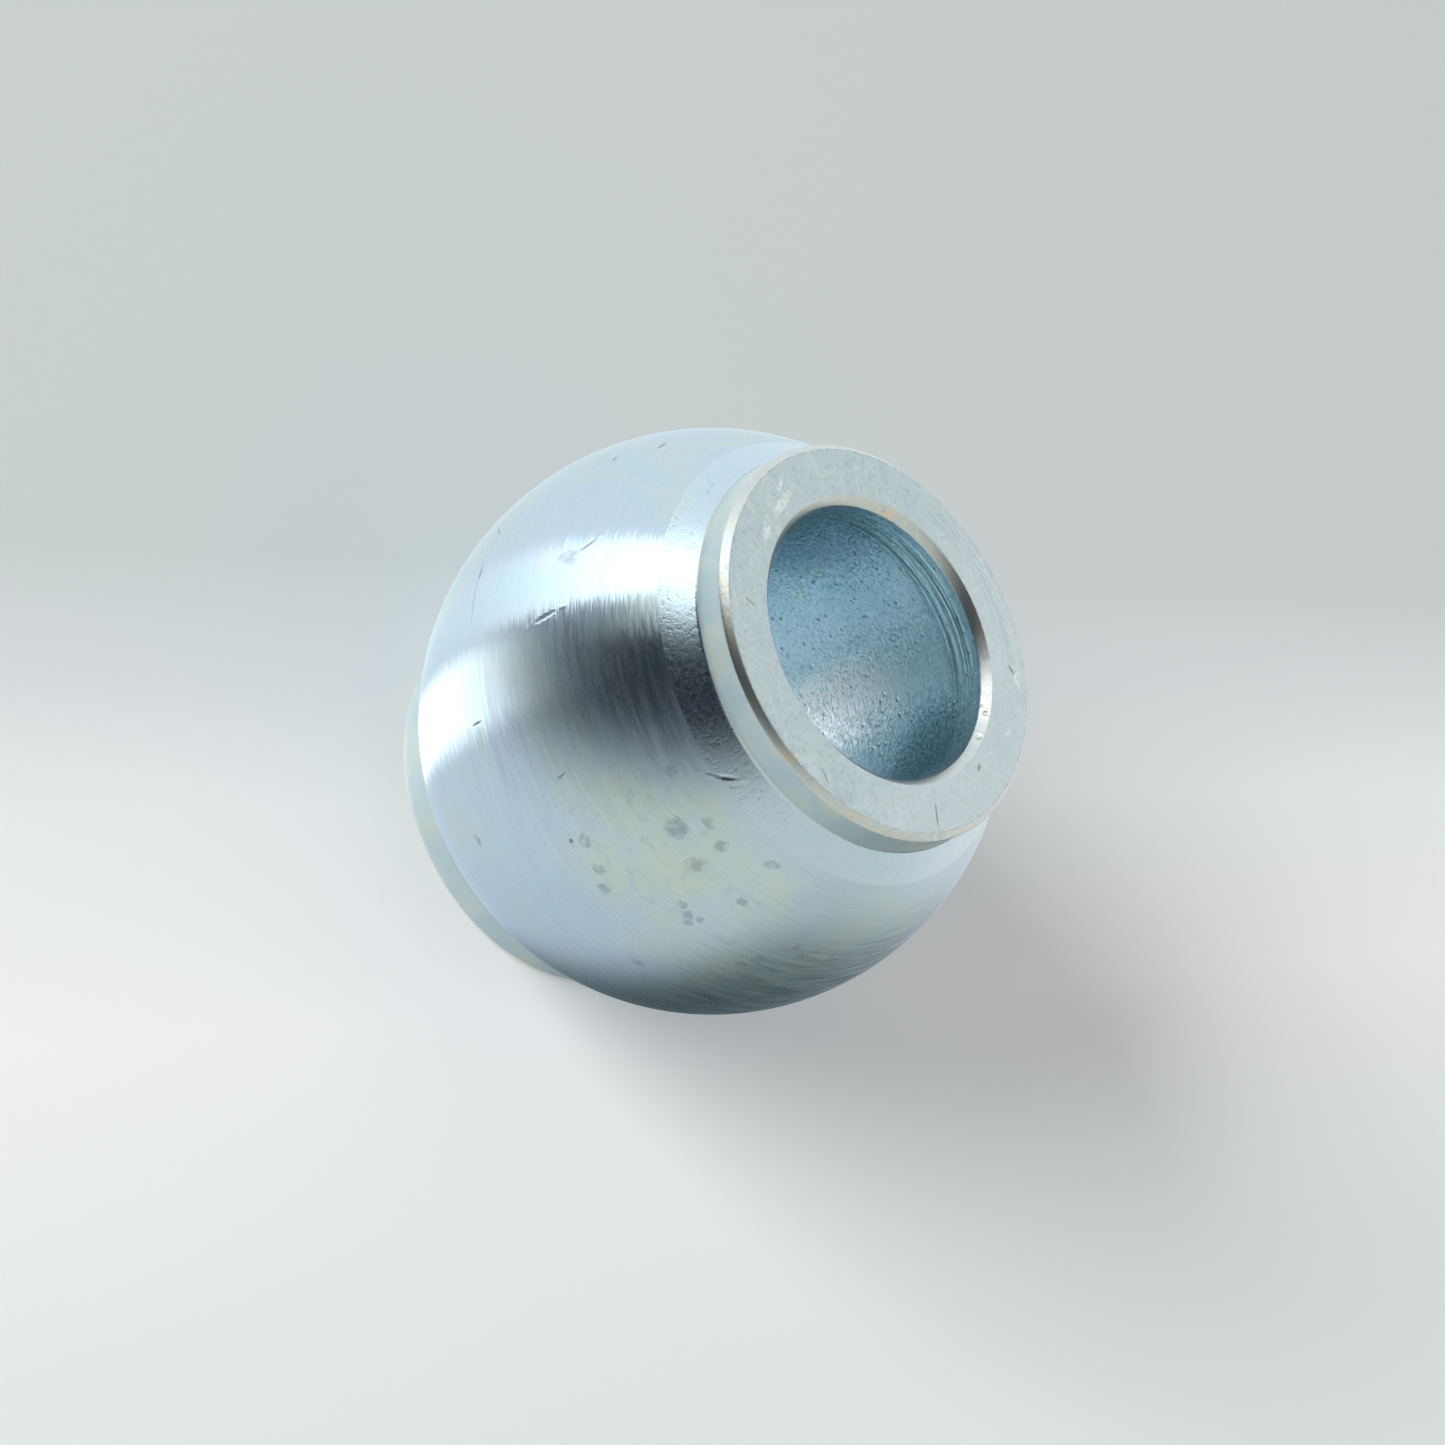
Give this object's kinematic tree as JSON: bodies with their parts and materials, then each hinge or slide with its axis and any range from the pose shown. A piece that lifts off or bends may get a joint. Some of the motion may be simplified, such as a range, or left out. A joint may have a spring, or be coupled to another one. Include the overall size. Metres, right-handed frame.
{
  "type": "linkage ball",
  "caption": "Turned steel ball with a through bore and a short collar at each end: the swivelling inner ball of a rod end or linkage ball end.",
  "frame": {"origin": "centre of the ball, which is also the middle of the bore and of the width", "axes": "+Z along the bore axis; the ball stands on the flat end face of its lower collar. It is the same all round, so X and Y are any two directions across the bore"},
  "size_m": [0.054, 0.054, 0.046],
  "materials": {
    "zinc_plated_steel": "turned and belt-polished steel under a thin bright zinc plate with a pale blue passivate; satin on the ball, matt on the end faces, blue-grey and pitted in the bore"
  },
  "bodies": {
    "root": {"linkage_ball": "zinc_plated_steel"}
  },
  "joints": []
}
